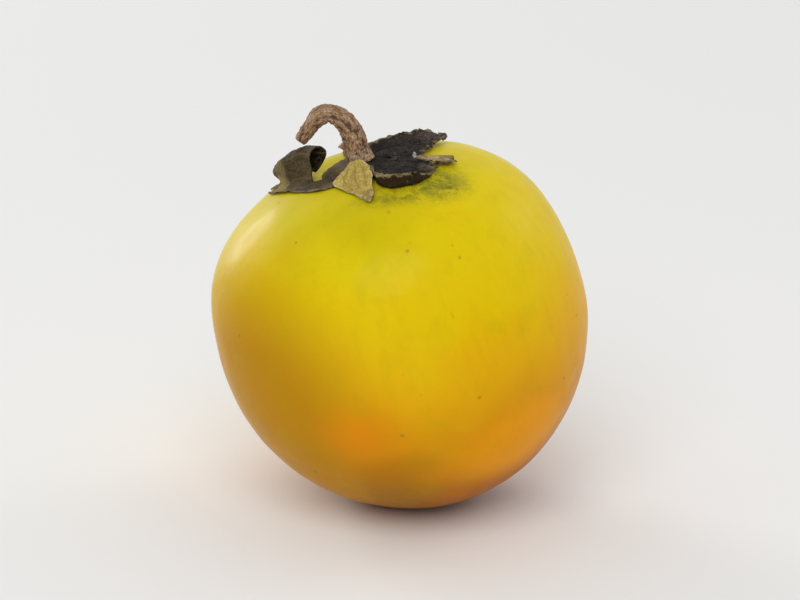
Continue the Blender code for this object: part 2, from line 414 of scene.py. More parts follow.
def skin_material():
    """Waxy skin: yellow-green crown, golden middle, orange blossom end, mottled and specked."""
    g = Graph("persimmon_skin")
    place = g.place()
    separate = g.node("SeparateXYZ")
    g.put(separate.inputs[0], place)
    height = g.math("MULTIPLY", separate.outputs["Z"], 1 / BODY_RADIUS)
    drift = g.noise(place, 55, 2, 0.5)
    height = g.math("ADD", height, g.remap(drift, 0.25, 0.75, -0.10, 0.10))
    height = g.math("MULTIPLY_ADD", height, 0.5, 0.5)
    # Colour by height from blossom end to crown; the lowest stops are darkened partly as painted
    # shade under the fruit, partly the blossom end's own deeper orange.
    colour = g.ramp(height, [
        (0.0, (0.38, 0.110, 0.001)),
        (0.10, (0.50, 0.155, 0.001)),
        (0.19, (0.66, 0.250, 0.001)),
        (0.32, (0.78, 0.370, 0.001)),
        (0.43, (0.84, 0.455, 0.001)),
        (0.52, (0.84, 0.500, 0.001)),
        (0.62, (0.83, 0.570, 0.001)),
        (0.75, (0.82, 0.600, 0.003)),
        (0.84, (0.77, 0.605, 0.002)),
        (0.91, (0.67, 0.535, 0.001)),
        (1.0, (0.58, 0.490, 0.002)),
    ])
    # Broad patches: left side darkened partly as painted shade, orange blush, underside darkened
    # partly as painted shade, brown and orange blotches
    for centre_mm, size_mm, softness, amount, patch in (
        ((-30, -22, -6), (22, 30, 32), 0.5, 0.95, (0.53, 0.245, 0.001)),
        ((17, -25, -20), (12, 13, 8), 0.5, 0.90, (0.93, 0.37, 0.001)),
        ((-10, -24, -25), (9, 10, 6), 0.6, 0.75, (0.38, 0.17, 0.003)),
        ((-7, -29, -17), (7, 7, 3.5), 0.7, 0.55, (0.46, 0.17, 0.001)),
        ((-10.5, -31.5, -7.5), (7, 8, 5.5), 0.85, 0.62, (0.88, 0.26, 0.001)),
    ):
        colour = g.lay(colour, g.near(place, centre_mm, size_mm, softness), amount, patch)
    orange = g.remap(g.noise(place, 95, 3, 0.55), 0.54, 0.74)
    colour = g.lay(colour, orange, 0.18, (0.80, 0.36, 0.001))
    olive = g.remap(g.noise(g.stretch(place, (1, 1, 1), (3, 1, 2)), 150, 4, 0.6), 0.50, 0.72)
    colour = g.lay(colour, olive, 0.16, (0.46, 0.40, 0.002))
    streaks = g.noise(g.stretch(place, (1, 1, 0.30)), 420, 3, 0.6)
    colour = g.mix(g.remap(streaks, 0.45, 0.72, 0.0, 0.10), colour, (0.50, 0.32, 0.002))
    # Sooty smudge of fine specks beside and below the right lobe, darkened below it partly as the
    # lobe's painted shadow
    beside = g.near(place, (15.0, -12.0, 28.4), (6.5, 5.5, 4), 0.6)
    below = g.near(place, (8.5, -15.5, 29.3), (7.5, 3.0, 3), 0.6)
    soot_and_lobe_shadow = g.math("MAXIMUM", beside, g.math("MULTIPLY", below, 0.8))
    haze = g.remap(g.noise(place, 420, 4, 0.7, 0.4), 0.36, 0.60, 0.30, 0.88)
    colour = g.lay(colour, soot_and_lobe_shadow, haze, (0.23, 0.225, 0.010))
    soot = g.remap(g.noise(place, 1100, 5, 0.75, 0.6), 0.50, 0.60)
    soot = g.math("MULTIPLY", soot, soot_and_lobe_shadow)
    colour = g.lay(colour, soot, 0.55, (0.080, 0.080, 0.012))
    # Scattered pinhead specks
    specks = g.remap(g.cells(place, 210), 0.05, 0.11, 1.0, 0.0)
    specks = g.math("MULTIPLY", specks, g.remap(g.noise(place, 120, 2), 0.52, 0.60))
    colour = g.lay(colour, specks, 0.45, (0.22, 0.13, 0.010))
    marks = g.remap(g.cells(g.stretch(place, (1, 1, 0.35)), 130), 0.035, 0.075, 1.0, 0.0)
    marks = g.math("MULTIPLY", marks, g.remap(g.noise(place, 70, 2), 0.50, 0.56))
    colour = g.lay(colour, marks, 0.35, (0.36, 0.22, 0.010))
    # Dry russet scratches on the raised left shoulder
    scratch_area = g.near(place, (-26, -6, 23), (4, 7, 6), 0.6)
    lines = g.noise(g.stretch(place, (1, 0.45, 1)), 700, 5, 0.75, 1.2)
    scratches = g.math("MULTIPLY", g.remap(lines, 0.50, 0.72), scratch_area)
    colour = g.lay(colour, scratches, 0.65, (0.60, 0.52, 0.26))
    # Dark dry scar at the blossom end
    tip = g.near(place, (0, 0, -34.6), (1.5, 1.5, 2.0), 0.4)
    colour = g.mix(tip, colour, (0.035, 0.020, 0.010))
    rough = g.remap(g.noise(place, 260, 3, 0.6), 0.3, 0.7, 0.34, 0.46)
    rough = g.math("ADD", rough, g.math("MULTIPLY", scratches, 0.25))
    pores = g.noise(place, 1500, 3, 0.6)
    swell = g.noise(place, 330, 2, 0.5)
    normal = g.bump(swell, 0.16, 0.5)
    normal = g.bump(pores, 0.03, 0.5, normal)
    return g.finish(colour, rough, normal, Subsurface_Weight=0.08, Subsurface_Scale=0.004,
                    Specular_IOR_Level=0.05, Coat_Weight=0.06, Coat_Roughness=0.16,
                    Sheen_Weight=0.10, Sheen_Roughness=0.25)


def leaf_material(name, upper, upper_dark, under, margin, vein, speck, speck_amount, net, tinted_patches,
                  mottle=0.5):
    """Dried leaf: blotched faces, tinted patches, net veins, papery margin and pale specks.

    A tinted patch is (centre_mm, size_mm, colour, amount).
    """
    g = Graph(name)
    place = g.place()
    sheet = g.attribute("sheet", "Vector")
    edge = g.attribute("edge_mm")
    upper_side = g.attribute("upper_side")
    rib = g.attribute("rib")
    blotch = g.remap(g.noise(place, 260, 4, 0.65), 0.36, 0.64)
    fine = g.noise(place, 2300, 4, 0.7)
    face = g.mix(blotch, upper, upper_dark)
    colour = g.mix(upper_side, under, face)
    uneven = g.remap(g.noise(place, 700, 4, 0.65), 0.35, 0.60, 0.55, 1.0)
    for centre_mm, size_mm, patch_colour, amount in tinted_patches:
        spread = g.math("MULTIPLY", g.near(place, centre_mm, size_mm, 0.25), uneven)
        colour = g.lay(colour, spread, amount, patch_colour)
    shadowed = g.mix(0.5, colour, (0.0, 0.0, 0.0))
    colour = g.mix(g.remap(fine, 0.35, 0.75, 0.0, mottle), colour, shadowed)
    net_lines = g.remap(g.cells(sheet, 1.05, "DISTANCE_TO_EDGE"), 0.02, 0.13, 1.0, 0.0)
    fine_net = g.remap(g.cells(sheet, 2.6, "DISTANCE_TO_EDGE"), 0.02, 0.12, 1.0, 0.0)
    veins = g.math("MAXIMUM", g.math("MULTIPLY", net_lines, net), rib)
    veins = g.math("MAXIMUM", veins, g.math("MULTIPLY", fine_net, net * 0.45))
    colour = g.lay(colour, veins, 0.75, vein)
    ragged = g.math("ADD", edge, g.remap(g.noise(place, 900, 3, 0.6), 0.3, 0.7, -0.45, 0.45))
    papery = g.remap(ragged, 0.0, 0.55, 1.0, 0.0)
    colour = g.lay(colour, papery, 0.85, margin)
    spots = g.remap(g.noise(place, 1700, 3, 0.7), 0.62, 0.70)
    colour = g.lay(colour, spots, speck_amount, speck)
    rough = g.remap(fine, 0.3, 0.7, 0.62, 0.85)
    relief = g.math("ADD", fine, g.math("MULTIPLY", veins, 0.8))
    normal = g.bump(relief, 0.10, 0.7)
    normal = g.bump(g.noise(place, 650, 3, 0.6), 0.25, 0.6, normal)
    return g.finish(colour, rough, normal, Specular_IOR_Level=0.12)


def bark_material():
    """Pinkish-brown bark with furrows, pale scuffs and a peeled place at the foot."""
    g = Graph("stalk_bark")
    place = g.place()
    length_wise = g.attribute("bark", "Vector")
    furrow = g.attribute("furrow")
    cut = g.attribute("cut_end")
    streak = g.noise(g.stretch(length_wise, (1, 1, 0.35)), 1.6, 5, 0.70)
    colour = g.ramp(streak, [
        (0.30, (0.12, 0.052, 0.024)),
        (0.41, (0.34, 0.185, 0.095)),
        (0.52, (0.58, 0.360, 0.200)),
        (0.70, (0.74, 0.520, 0.330)),
    ])
    grit = g.noise(place, 3200, 3, 0.7)
    colour = g.mix(g.remap(grit, 0.52, 0.70, 0.0, 0.55), colour, (0.055, 0.025, 0.022))
    colour = g.lay(colour, furrow, 0.75, (0.045, 0.022, 0.018))
    scuff = g.remap(g.noise(place, 900, 4, 0.65), 0.60, 0.68)
    colour = g.lay(colour, scuff, 0.45, (0.55, 0.42, 0.33))
    peeled = g.near(place, (2.4, -2.4, 34.0), (1.5, 1.3, 1.2), 0.4)
    peeled = g.math("MULTIPLY", peeled, g.remap(g.noise(place, 1200, 3), 0.40, 0.50))
    colour = g.mix(peeled, colour, (0.60, 0.46, 0.30))
    wood = g.mix(g.remap(grit, 0.4, 0.6), (0.16, 0.085, 0.05), (0.34, 0.22, 0.13))
    colour = g.mix(cut, colour, wood)
    plates = g.cells(g.stretch(length_wise, (1, 1, 0.40)), 3.4, "DISTANCE_TO_EDGE")
    cracks = g.remap(plates, 0.02, 0.14, 1.0, 0.0)
    colour = g.lay(colour, cracks, 0.50, (0.075, 0.034, 0.018))
    relief = g.math("ADD", streak, g.math("MULTIPLY", grit, 0.5))
    relief = g.math("SUBTRACT", relief, g.math("MULTIPLY", cracks, 0.5))
    normal = g.bump(relief, 0.24, 0.9)
    return g.finish(colour, g.remap(grit, 0.3, 0.7, 0.60, 0.85), normal, Specular_IOR_Level=0.30)


def floor_material():
    """Plain pale floor without shine."""
    g = Graph("pale_floor")
    return g.finish((0.87, 0.87, 0.865), 0.75, Specular_IOR_Level=0.2)


# ---------------------------------------------------------------- fruit body

def body_grid():
    """Points of the skin from crown to blossom end, in the fruit's frame.

    The skin has slight dents, a fine grain, and the style's stub in a groove at the blossom end.
    """
    step = np.linspace(0, 1, BODY_RINGS)
    angle = math.pi * (step - BODY_RING_CROWDING * np.sin(2 * math.pi * step) / (2 * math.pi))
    azimuth = np.arange(BODY_SEGMENTS) * 2 * math.pi / BODY_SEGMENTS
    angle, azimuth = np.meshgrid(angle[1:-1], azimuth, indexing="ij")
    points = body_points(angle, azimuth)
    points = np.vstack([
        body_points(np.array(0.0), np.array(0.0))[None],
        points.reshape(-1, 3),
        body_points(np.array(math.pi), np.array(0.0))[None],
    ])
    out = points / np.linalg.norm(points, axis=1)[:, None]
    dent_places = points / (DENT_WIDTH_MM * MM)
    grain_places = points / (GRAIN_WIDTH_MM * MM)
    dents = DENT_HEIGHT_MM * MM * layered_noise(*dent_places.T, seed=3, layers=2)
    grain = GRAIN_HEIGHT_MM * MM * gradient_noise(*grain_places.T, seed=8)
    from_line = np.hypot(points[:, 0], points[:, 1]) / MM
    style = STYLE_HEIGHT_MM * MM * bell(from_line, 0, STYLE_WIDTH_MM)
    style -= GROOVE_DEPTH_MM * MM * bell(from_line, GROOVE_RADIUS_MM, GROOVE_WIDTH_MM)
    style = np.where(points[:, 2] < 0, style, 0)
    return points + out * (dents + grain + style)[:, None]


def body_faces():
    """Faces of the skin: rings of quads, closed by a fan of triangles at each end."""
    rings = BODY_RINGS - 2
    faces = [face[::-1] for face in quad_grid(rings, BODY_SEGMENTS, wrap=True, first=1)]
    last = 1 + rings * BODY_SEGMENTS
    base = last - BODY_SEGMENTS
    for column in range(BODY_SEGMENTS):
        following = (column + 1) % BODY_SEGMENTS
        faces.append((0, 1 + column, 1 + following))
        faces.append((last, base + following, base + column))
    return faces


def fruit_matrix(points):
    """Lean the fruit's frame and move it so that the skin stands where the CAD body stands."""
    lean = Matrix.Rotation(-LEAN, 4, "Y")
    leaned = points @ np.array(lean.to_3x3()).T
    low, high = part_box("fruit_body")
    made_low = leaned.min(0)
    made_high = leaned.max(0)
    move = Vector((
        (low[0] + high[0] - made_low[0] - made_high[0]) / 2,
        (low[1] + high[1] - made_low[1] - made_high[1]) / 2,
        high[2] - made_high[2],
    ))
    return Matrix.Translation(move) @ lean


def rest_flat(points):
    """Press the skin level where it would pass below the surface it rests on."""
    matrix = np.array(fruit_frame)
    world = points @ matrix[:3, :3].T + matrix[:3, 3]
    rounding = REST_ROUNDING_MM * MM
    z = world[:, 2]
    world[:, 2] = (z + np.sqrt(z * z + rounding * rounding)) / 2
    return (world - matrix[:3, 3]) @ matrix[:3, :3]


# ---------------------------------------------------------------- calyx lobes

def spline_nodes(place, count):
    """Indices and Catmull-Rom weights of the four nodes that shape each place on a line."""
    index = np.clip(place.astype(int), 0, count - 2)
    t = place - index
    weights = (
        (-t + 2 * t**2 - t**3) / 2,
        (2 - 5 * t**2 + 3 * t**3) / 2,
        (t + 4 * t**2 - 3 * t**3) / 2,
        (t**3 - t**2) / 2,
    )
    nodes = (np.clip(index + step, 0, count - 1) for step in (-1, 0, 1, 2))
    return list(zip(nodes, weights))


def lobe_sheet(lobe):
    """The lobe's middle sheet, in metres: a smooth surface through its nodes, with torn edges."""
    nodes = np.array(lobe["nodes_mm"], float)
    along = np.linspace(0, 1, LOBE_ROWS)[:, None]
    across = np.linspace(0, 1, LOBE_COLUMNS)[None, :]
    seed = lobe["seed"]

    def tears(x, y, z, tear_seed):
        return lobe["ragged"] * np.abs(layered_noise(x, y, z, tear_seed, 4))

    reach = np.interp(across, *zip(*lobe["tip_outline"]))
    reach = reach - tears(across * TEARS_AT_TIP, 0.3, 0.7, seed + 31)
    clear_of_disc = smooth(0.05, 0.3, along)
    low = tears(along * TEARS_AT_SIDES, 1.3, 0.5, seed + 20) * clear_of_disc
    high = tears(along * TEARS_AT_SIDES, 6.3, 0.5, seed + 25) * clear_of_disc
    row = along * np.clip(reach, 0.1, 1) * (nodes.shape[0] - 1)
    column = np.clip(low + (1 - high - low) * across, 0, 1) * (nodes.shape[1] - 1)
    points = 0
    for row_index, row_weight in spline_nodes(row, nodes.shape[0]):
        for column_index, column_weight in spline_nodes(column, nodes.shape[1]):
            weight = (row_weight * column_weight)[..., None]
            points = points + weight * nodes[row_index, column_index]
    points = points * MM
    points[..., 2] += skin_height(points[..., 0], points[..., 1])
    return points


def sheet_normals(points):
    """Unit normals of a sheet of points, stored in rows and columns."""
    rows = np.gradient(points, axis=0)
    columns = np.gradient(points, axis=1)
    normals = np.cross(rows, columns)
    return normals / np.maximum(np.linalg.norm(normals, axis=-1, keepdims=True), 1e-12)


def flattened(points):
    """Places on the sheet laid out flat, in millimetres: out from the disc, and across."""
    middle = LOBE_COLUMNS // 2
    out = np.zeros(points.shape[:2])
    out[1:] = np.cumsum(np.linalg.norm(np.diff(points, axis=0), axis=-1), axis=0)
    aside = np.zeros(points.shape[:2])
    aside[:, 1:] = np.cumsum(np.linalg.norm(np.diff(points, axis=1), axis=-1), axis=1)
    aside -= aside[:, middle:middle + 1]
    return np.stack([out, aside, np.zeros_like(out)], -1) / MM


def edge_distance(points):
    """Distance of each sheet point from the lobe's free edge, in millimetres."""
    sides = points[EDGE_FIRST_ROW::2]
    edge = np.vstack([sides[:, 0], sides[:, -1], points[-1, ::2]])
    nearest = np.full(points.shape[:2], np.inf)
    for place in edge:
        nearest = np.minimum(nearest, np.linalg.norm(points - place, axis=-1))
    return nearest / MM


def ribs(lobe):
    """Strength of the main veins, which fan out from the base, with branches on both sides."""
    branches = 4
    along = np.linspace(0, 1, LOBE_ROWS)[:, None]
    across = np.linspace(-1, 1, LOBE_COLUMNS)[None, :]
    wander = 0.035 * gradient_noise(along * 5, across * 2, 0.2, lobe["seed"] + 50)
    strength = np.zeros((LOBE_ROWS, LOBE_COLUMNS))
    for place in lobe["ribs"]:
        path = place * (0.75 + 0.35 * along)
        line = bell(across + wander, path, lobe["rib_width"] * (1.4 - 0.4 * along))
        strength = np.maximum(strength, line * (1 - smooth(0.80, 1.0, along)))
        for side in (-1, 1):
            for branch in range(1, branches + 1):
                fork = branch / (branches + 1.5)
                slope = (along - fork) * 0.55 * side
                twig = bell(across + wander, path + slope, lobe["rib_width"] * 0.75)
                twig *= smooth(fork, fork + 0.02, along)
                twig *= 1 - smooth(fork + 0.22, fork + 0.36, along)
                strength = np.maximum(strength, 0.7 * twig)
    return strength


def make_lobe(name, node, lobe, material):
    """A crinkled papery lobe with ragged margins, closed into a thin solid."""
    points = lobe_sheet(lobe)
    edge = edge_distance(points)
    flat = flattened(points)
    rib = ribs(lobe)
    seed = lobe["seed"]
    s, t = flat[..., 0], flat[..., 1]
    loose = 1 - smooth(0.0, LOOSE_MARGIN_MM, edge)
    clear_of_disc = smooth(0.5, 3.0, s)
    height, wide_out, wide_across = BROAD_CRINKLES
    crinkle = height * layered_noise(s / wide_out, t / wide_across, 0.3, seed, 2)
    crinkle *= 0.5 + 1.2 * loose
    height, wide_out, wide_across = SMALL_CRINKLES
    crinkle += height * layered_noise(s / wide_out, t / wide_across, 0.8, seed + 4, 2)
    height, wide_out, wide_across = FINE_CRINKLES
    crinkle += height * gradient_noise(s / wide_out, t / wide_across, 0.1, seed + 9)
    lift = crinkle * lobe["crinkle"] * clear_of_disc - RIB_DEPTH_MM * rib
    points = points + sheet_normals(points) * (lift * MM)[..., None]
    normals = sheet_normals(points)
    half = LOBE_THICKNESS / 2 * (0.35 + 0.65 * smooth(0.0, THIN_MARGIN_MM, edge))
    least = skin_height(points[..., 0], points[..., 1]) + SKIN_GAP + half
    above = points[..., 2] - least
    points[..., 2] = least + (above + np.sqrt(above ** 2 + (CONTACT_ROUNDING_MM * MM) ** 2)) / 2
    upper = points + normals * half[..., None]
    under = points - normals * half[..., None]
    count = LOBE_ROWS * LOBE_COLUMNS
    faces = quad_grid(LOBE_ROWS, LOBE_COLUMNS)
    faces += [tuple(index + count for index in face[::-1]) for face in faces]
    rim = list(range(LOBE_COLUMNS))
    rim += [row * LOBE_COLUMNS + LOBE_COLUMNS - 1 for row in range(1, LOBE_ROWS)]
    rim += [(LOBE_ROWS - 1) * LOBE_COLUMNS + column for column in range(LOBE_COLUMNS - 2, -1, -1)]
    rim += [row * LOBE_COLUMNS for row in range(LOBE_ROWS - 2, 0, -1)]
    for here, following in zip(rim, rim[1:] + rim[:1]):
        faces.append((following, here, here + count, following + count))
    both = np.vstack([upper.reshape(-1, 3), under.reshape(-1, 3)])
    piece = add_piece(name, both, faces, node, material)
    add_attribute(piece, "upper_side", np.repeat([1.0, 0.0], count))
    add_attribute(piece, "edge_mm", np.tile(edge.ravel(), 2))
    add_attribute(piece, "rib", np.tile(rib.ravel(), 2))
    add_attribute(piece, "sheet", np.tile(flat.reshape(-1, 3), (2, 1)))


# Nodes are x, y and height above the skin. A lobe's rows of nodes run out from the disc, and each
# row runs anticlockwise, seen from the stalk. tip_outline pairs a place across the lobe with the
# share of its length that is left there.
LOBES = {
    # The near half lies on the skin; the far half stands up and rolls over into an open tube
    "left": {
        "nodes_mm": (
            ((-6.4, 1.6, 0.8), (-4.4, 1.8, 2.6), (-3.3, 1.2, 4.5),
             (-4.4, 1.2, 5.8), (-6.2, -0.2, 5.0), (-6.6, -1.8, 2.6),
             (-6.9, -2.8, 0.4), (-4.4, -3.4, 0.5), (-2.4, -8.3, 0.3)),
            ((-8.0, 3.6, 0.8), (-7.2, 4.0, 2.6), (-6.6, 3.8, 4.6),
             (-7.0, 3.0, 5.6), (-7.8, 1.4, 5.1), (-8.4, -0.5, 2.8),
             (-8.6, -1.6, 0.4), (-7.6, -5.0, 0.4), (-6.2, -8.1, 0.3)),
            ((-10.0, 4.6, 0.8), (-10.0, 5.0, 2.4), (-10.0, 4.8, 4.0),
             (-10.2, 4.0, 4.9), (-10.4, 2.4, 4.6), (-10.3, 1.3, 2.6),
             (-10.6, -0.1, 0.4), (-10.4, -2.8, 0.4), (-9.8, -5.6, 0.3)),
            ((-12.2, 4.8, 0.8), (-12.8, 5.6, 1.8), (-14.0, 6.0, 2.8),
             (-14.1, 5.6, 3.5), (-12.6, 3.9, 3.9), (-12.0, 2.4, 2.2),
             (-12.0, 1.0, 0.4), (-12.1, -0.8, 0.3), (-12.0, -3.0, 0.3)),
            ((-13.1, 3.6, 0.5), (-13.1, 3.5, 0.7), (-13.2, 3.4, 0.8),
             (-13.2, 3.2, 0.9), (-13.2, 2.9, 0.8), (-13.2, 2.4, 0.6),
             (-13.4, 1.8, 0.35), (-13.8, 0.9, 0.3), (-14.0, -0.5, 0.3)),
            ((-15.9, 4.2, 0.3), (-16.0, 4.1, 0.3), (-16.1, 4.0, 0.3),
             (-16.2, 3.9, 0.3), (-16.2, 3.8, 0.3), (-16.2, 3.6, 0.3),
             (-16.2, 3.4, 0.3), (-16.1, 3.1, 0.3), (-16.0, 2.8, 0.3)),
        ),
        "tip_outline": (
            (0.0, 0.90), (0.20, 0.96), (0.40, 0.90), (0.55, 0.96), (0.70, 1.0), (1.0, 1.0),
        ),
        "ribs": (-0.7, -0.35, 0.0, 0.5),
        "ragged": 0.028,
        "crinkle": 1.15,
        "rib_width": 0.022,
        "seed": 11,
    },
    # Large cupped lobe with a torn tip; both margins stand clear of the skin
    "right": {
        "nodes_mm": (
            ((4.3, -3.6, 0.9), (4.3, -3.6, 0.8), (4.4, -3.2, 0.9), (4.6, -2.4, 1.1),
             (4.6, -1.0, 1.3), (4.8, 0.6, 1.5), (4.7, 2.0, 2.0), (4.4, 3.4, 2.7)),
            ((5.2, -10.6, 2.2), (5.2, -11.8, 0.5), (5.8, -8.6, 0.5), (6.8, -5.4, 0.7),
             (7.8, -2.8, 0.7), (8.3, 0.0, 1.1), (8.4, 2.2, 2.0), (8.3, 4.2, 2.9)),
            ((7.2, -12.9, 2.4), (7.5, -14.0, 0.4), (8.5, -10.8, 0.5), (10.1, -7.6, 0.8),
             (11.5, -4.4, 0.7), (12.2, -0.8, 1.0), (12.3, 2.4, 1.8), (12.2, 5.4, 2.8)),
            ((10.3, -13.2, 2.3), (10.8, -13.8, 0.4), (11.5, -11.4, 0.5), (12.9, -8.8, 0.8),
             (14.4, -5.2, 0.9), (15.2, -1.0, 1.0), (15.1, 3.0, 1.6), (14.6, 7.4, 2.3)),
            ((12.8, -11.9, 2.0), (13.7, -11.7, 0.5), (14.3, -10.0, 0.6), (15.2, -8.4, 0.9),
             (17.0, -5.2, 1.0), (17.6, -1.0, 1.0), (17.2, 3.8, 1.3), (16.3, 8.4, 1.7)),
            ((14.6, -10.6, 1.7), (15.9, -10.0, 0.8), (16.8, -8.8, 0.8), (17.4, -7.8, 0.9),
             (19.9, -5.2, 1.0), (19.4, -0.6, 1.1), (18.8, 4.4, 1.3), (18.2, 8.6, 1.5)),
        ),
        "tip_outline": (
            (0.0, 0.74), (0.07, 0.86), (0.14, 0.92), (0.22, 0.86), (0.30, 0.92), (0.38, 0.95),
            (0.44, 0.76), (0.50, 0.80), (0.53, 0.97), (0.57, 1.0), (0.60, 0.95), (0.615, 0.60),
            (0.65, 0.52), (0.72, 0.60), (0.80, 0.68), (0.88, 0.84), (0.95, 1.0), (0.98, 0.98),
            (1.0, 0.88),
        ),
        "ribs": (-0.66, -0.33, 0.0, 0.33, 0.66),
        "ragged": 0.030,
        "crinkle": 1.25,
        "rib_width": 0.022,
        "seed": 23,
    },
    # Narrow kite-shaped lobe that hangs over the near shoulder
    "front": {
        "nodes_mm": (
            ((0.3, -3.0, 2.2), (0.9, -3.3, 2.5), (1.6, -3.4, 2.6),
             (2.4, -3.3, 2.5), (3.1, -3.0, 2.2)),
            ((-1.5, -5.4, 1.2), (-0.2, -5.8, 1.5), (1.5, -5.9, 1.6),
             (3.1, -5.7, 1.5), (4.2, -5.3, 1.3)),
            ((-3.0, -8.0, 0.6), (-1.0, -8.6, 0.9), (1.3, -8.9, 0.9),
             (3.4, -8.7, 1.1), (4.8, -8.4, 1.4)),
            ((-1.4, -11.4, 0.5), (0.1, -11.8, 0.6), (1.8, -12.0, 0.6),
             (3.4, -11.8, 0.8), (4.7, -11.4, 1.2)),
            ((1.0, -14.4, 0.4), (1.8, -14.6, 0.5), (2.7, -14.7, 0.5),
             (3.6, -14.6, 0.6), (4.5, -14.3, 0.9)),
            ((3.0, -17.0, 0.4), (3.2, -17.2, 0.4), (3.5, -17.3, 0.4),
             (3.8, -17.2, 0.4), (4.1, -17.0, 0.5)),
        ),
        "tip_outline": ((0.0, 0.97), (0.4, 1.0), (0.8, 0.98), (1.0, 0.95)),
        "ribs": (-0.5, 0.0, 0.5),
        "ragged": 0.022,
        "crinkle": 0.8,
        "rib_width": 0.045,
        "seed": 37,
    },
    # Flat lobe on the far side with a slightly lifted tip
    "back": {
        "nodes_mm": (
            ((4.0, 2.6, 0.9), (2.6, 3.7, 1.0), (0.8, 4.4, 1.0), (-0.6, 4.4, 0.9)),
            ((5.8, 5.6, 0.4), (4.0, 6.5, 0.4), (1.6, 6.9, 0.4), (-0.9, 6.8, 0.4)),
            ((7.2, 7.8, 0.4), (5.0, 9.0, 0.4), (2.0, 9.6, 0.4), (-1.4, 9.4, 0.4)),
            ((7.6, 9.8, 0.4), (5.4, 11.4, 0.4), (2.2, 12.2, 0.4), (-1.4, 11.8, 0.4)),
            ((6.8, 11.8, 0.5), (5.2, 13.4, 0.7), (2.6, 14.4, 0.7), (-0.4, 13.8, 0.5)),
        ),
        "tip_outline": ((0.0, 0.80), (0.3, 0.95), (0.55, 1.0), (0.8, 0.9), (1.0, 0.78)),
        "ribs": (-0.6, -0.3, 0.0, 0.3, 0.6),
        "ragged": 0.030,
        "crinkle": 0.8,
        "rib_width": 0.026,
        "seed": 53,
    },
}


# ---------------------------------------------------------------- calyx disc

def make_disc(material):
    """Woody disc under the stalk, wrinkled towards its rim."""
    radius = DISC_RADIUS * np.linspace(0.02, 1, DISC_RINGS)
    turn = np.arange(DISC_SEGMENTS) * 2 * math.pi / DISC_SEGMENTS
    radius, turn = np.meshgrid(radius, turn, indexing="ij")
    x = radius * np.cos(turn)
    y = radius * np.sin(turn)
    skin = skin_height(x, y)
    share = radius / DISC_RADIUS
    creases = layered_noise(np.cos(turn) * 3, np.sin(turn) * 3, share, 71, 3)
    height_mm = DISC_EDGE_HEIGHT_MM + DISC_DOME_HEIGHT_MM * (1 - smooth(0.55, 1.0, share))
    height_mm += DISC_CREASE_HEIGHT_MM * creases * smooth(0.25, 0.6, share)
    upper = np.stack([x, y, skin + height_mm * MM], -1).reshape(-1, 3)
    lower = np.stack([x, y, skin + SKIN_GAP], -1).reshape(-1, 3)
    count = DISC_RINGS * DISC_SEGMENTS
    faces = [face[::-1] for face in quad_grid(DISC_RINGS, DISC_SEGMENTS, wrap=True)]
    faces += quad_grid(DISC_RINGS, DISC_SEGMENTS, wrap=True, first=count)
    edge = count - DISC_SEGMENTS
    for column in range(DISC_SEGMENTS):
        a = edge + column
        b = edge + (column + 1) % DISC_SEGMENTS
        faces.append((b, b + count, a + count, a))
    faces.append(tuple(range(DISC_SEGMENTS)))
    faces.append(tuple(range(count, count + DISC_SEGMENTS))[::-1])
    both = np.vstack([upper, lower])
    piece = add_piece("woody_disc", both, faces, "calyx_disc", material)
    add_attribute(piece, "upper_side", np.ones(len(both)))
    add_attribute(piece, "edge_mm", np.full(len(both), LOOSE_MARGIN_MM))
    add_attribute(piece, "rib", np.zeros(len(both)))
    flat = np.stack([x, y, 0 * x], -1).reshape(-1, 3) / MM
    add_attribute(piece, "sheet", np.tile(flat, (2, 1)))


# ---------------------------------------------------------------- stalk

# Places (x, z) on the stalk's middle line, and its radius there
STEM_LINE = [
    ((0.00250, 0.03290), 0.00250),
    ((0.00240, 0.03500), 0.00235),
    ((0.00260, 0.03740), 0.00220),
    ((0.00230, 0.03990), 0.00200),
    ((0.00130, 0.04210), 0.00180),
    ((-0.00030, 0.04330), 0.00168),
    ((-0.00200, 0.04335), 0.00158),
    ((-0.00430, 0.04200), 0.00138),
    ((-0.00700, 0.03990), 0.00112),
]


def angle_from(turns, direction):
    """Angle from a direction around the stalk, at most half a turn either way."""
    return np.angle(np.exp(1j * (turns - direction)))


def bark_relief(s, turns, length):
    """Height of the bark in millimetres, and how furrowed it is, from 0 to 1.

    The places are s millimetres along a stalk of this length, at turns around it.
    """
    cos, sin = np.cos(turns), np.sin(turns)
    ridge = gradient_noise(cos * 2.6 + s * 0.08, sin * 2.6, s * 0.16, 81)
    plates = layered_noise(cos * 3.0, sin * 3.0, s * 0.9, 85, 3)
    rings = gradient_noise(cos * 0.8, sin * 0.8, s * 2.6, 88)
    relief = RIDGE_HEIGHT_MM * ridge + PLATE_HEIGHT_MM * plates + RING_HEIGHT_MM * rings
    bumps = np.zeros_like(relief)
    chance = np.random.RandomState(91)
    for _ in range(BARK_BUMPS):
        at = chance.uniform(0.5, length)
        side = chance.uniform(0, 2 * math.pi)
        bump = bell(angle_from(turns, side) * 1.9, 0, 0.26)
        bumps += BARK_BUMP_HEIGHT_MM * bell(s, at, 0.17) * bump
    joint = length * JOINT_SHARE
    swelling = JOINT_HEIGHT_MM * bell(s, joint, 0.8) + 0.10 * bell(s, joint - 0.9, 0.25)
    flare = FOOT_FLARE_MM * (1 - smooth(0.0, 2.0, s)) * (0.75 + 0.5 * ridge)
    scar_gap = angle_from(turns, math.pi) * 2.1
    scar = LEAF_SCAR_HEIGHT_MM * bell(s, LEAF_SCAR_AT_MM, 0.50) * bell(scar_gap, 0, 0.7)
    scar -= 0.35 * bell(s, LEAF_SCAR_AT_MM + 0.2, 0.22) * bell(scar_gap, 0.1, 0.28)
    furrow = smooth(0.10, 0.42, -(ridge * 0.6 + plates * 0.7))
    return relief + bumps + swelling + flare + scar, furrow


